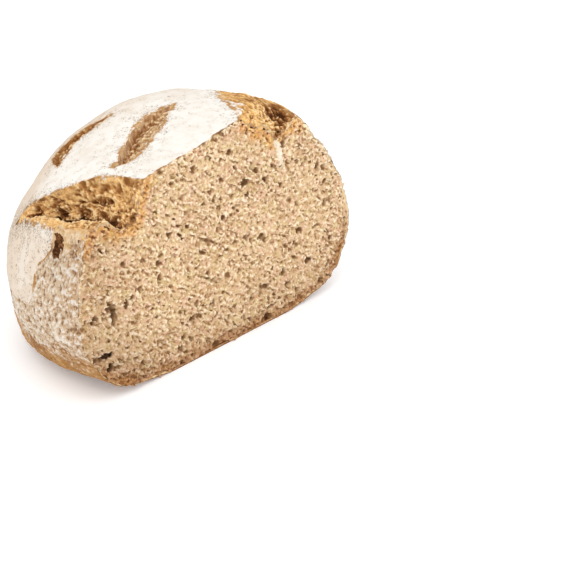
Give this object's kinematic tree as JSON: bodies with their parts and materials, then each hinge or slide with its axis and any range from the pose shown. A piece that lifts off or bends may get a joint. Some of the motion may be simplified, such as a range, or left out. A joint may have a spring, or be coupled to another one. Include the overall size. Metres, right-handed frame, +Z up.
{
  "type": "country boule",
  "caption": "Round crusty country loaf cut straight through, resting on its flat base, with a floured cap between craggy bursts, shallow slashes and an open crumb face.",
  "frame": {"origin": "centre of the loaf's bounding box, on the floor under its flat base", "axes": "+X across the cut face to its right, -Y out of the cut face, +Z up"},
  "size_m": [0.206, 0.1168, 0.1262],
  "materials": {
    "bread": "matte"
  },
  "bodies": {
    "root": {"boule": "bread"}
  },
  "joints": []
}
